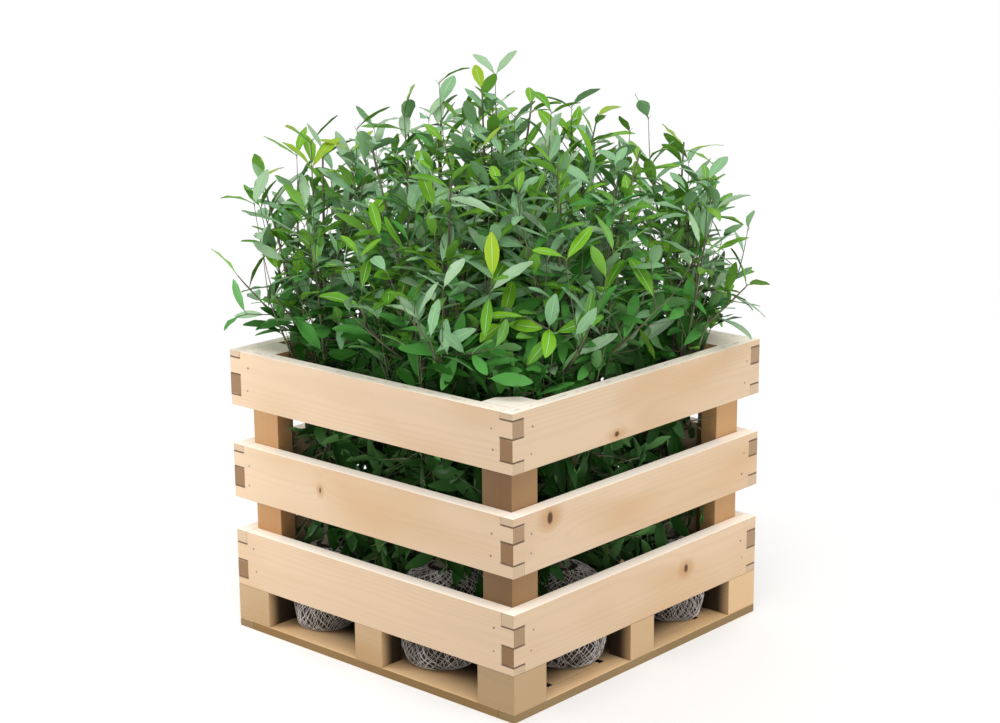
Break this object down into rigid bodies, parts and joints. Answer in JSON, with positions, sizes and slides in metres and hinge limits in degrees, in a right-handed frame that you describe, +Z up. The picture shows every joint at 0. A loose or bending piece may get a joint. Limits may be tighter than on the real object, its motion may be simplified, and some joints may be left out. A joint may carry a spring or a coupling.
{
  "type": "potted cherry laurel shrub",
  "caption": "Evergreen cherry laurel shrub, upright and leafy, its netted root balls standing in a square slatted wooden crate.",
  "frame": {"origin": "centre of the crate's flat underside, on the middle floor board", "axes": "+Z up; the crate's sides face along X and Y; the picture's right-hand side faces -Y and its left-hand side -X"},
  "size_m": [1.229, 1.2611, 1.5461],
  "materials": {
    "spruce_slat": "planed pale spruce, satin, with fine grain and a few knots",
    "spruce_block": "sawn spruce, duller and browner than the slats",
    "netted_peat": "dark peat held in a pale grey net",
    "stem_bark": "dark greenish brown bark, slightly rough",
    "laurel_leaf": "smooth green leaf with a soft gloss"
  },
  "bodies": {
    "root": {"base_rail_front": "spruce_block", "base_rail_back": "spruce_block", "floor_board_1": "spruce_block", "floor_board_2": "spruce_block", "floor_board_3": "spruce_block", "floor_board_4": "spruce_block", "floor_board_5": "spruce_block", "block_front_left": "spruce_block", "block_front_right": "spruce_block", "block_back_left": "spruce_block", "block_back_right": "spruce_block", "block_mid_front": "spruce_block", "block_mid_back": "spruce_block", "block_mid_left": "spruce_block", "block_mid_right": "spruce_block", "post_front_left": "spruce_block", "post_front_right": "spruce_block", "post_back_left": "spruce_block", "post_back_right": "spruce_block", "slat_low_front": "spruce_slat", "slat_low_back": "spruce_slat", "slat_low_left": "spruce_slat", "slat_low_right": "spruce_slat", "slat_mid_front": "spruce_slat", "slat_mid_back": "spruce_slat", "slat_mid_left": "spruce_slat", "slat_mid_right": "spruce_slat", "slat_top_front": "spruce_slat", "slat_top_back": "spruce_slat", "slat_top_left": "spruce_slat", "slat_top_right": "spruce_slat", "root_ball_1": "netted_peat", "root_ball_2": "netted_peat", "root_ball_3": "netted_peat", "root_ball_4": "netted_peat", "root_ball_5": "netted_peat", "root_ball_6": "netted_peat", "root_ball_7": "netted_peat", "trunk_1": "stem_bark", "trunk_2": "stem_bark", "trunk_3": "stem_bark", "trunk_4": "stem_bark", "trunk_5": "stem_bark", "trunk_6": "stem_bark", "trunk_7": "stem_bark", "foliage_1a": "laurel_leaf", "foliage_1b": "laurel_leaf", "foliage_2a": "laurel_leaf", "foliage_2b": "laurel_leaf", "foliage_3a": "laurel_leaf", "foliage_3b": "laurel_leaf", "foliage_4a": "laurel_leaf", "foliage_4b": "laurel_leaf", "foliage_5a": "laurel_leaf", "foliage_5b": "laurel_leaf", "foliage_6a": "laurel_leaf", "foliage_6b": "laurel_leaf", "foliage_7a": "laurel_leaf", "foliage_7b": "laurel_leaf"}
  },
  "joints": []
}
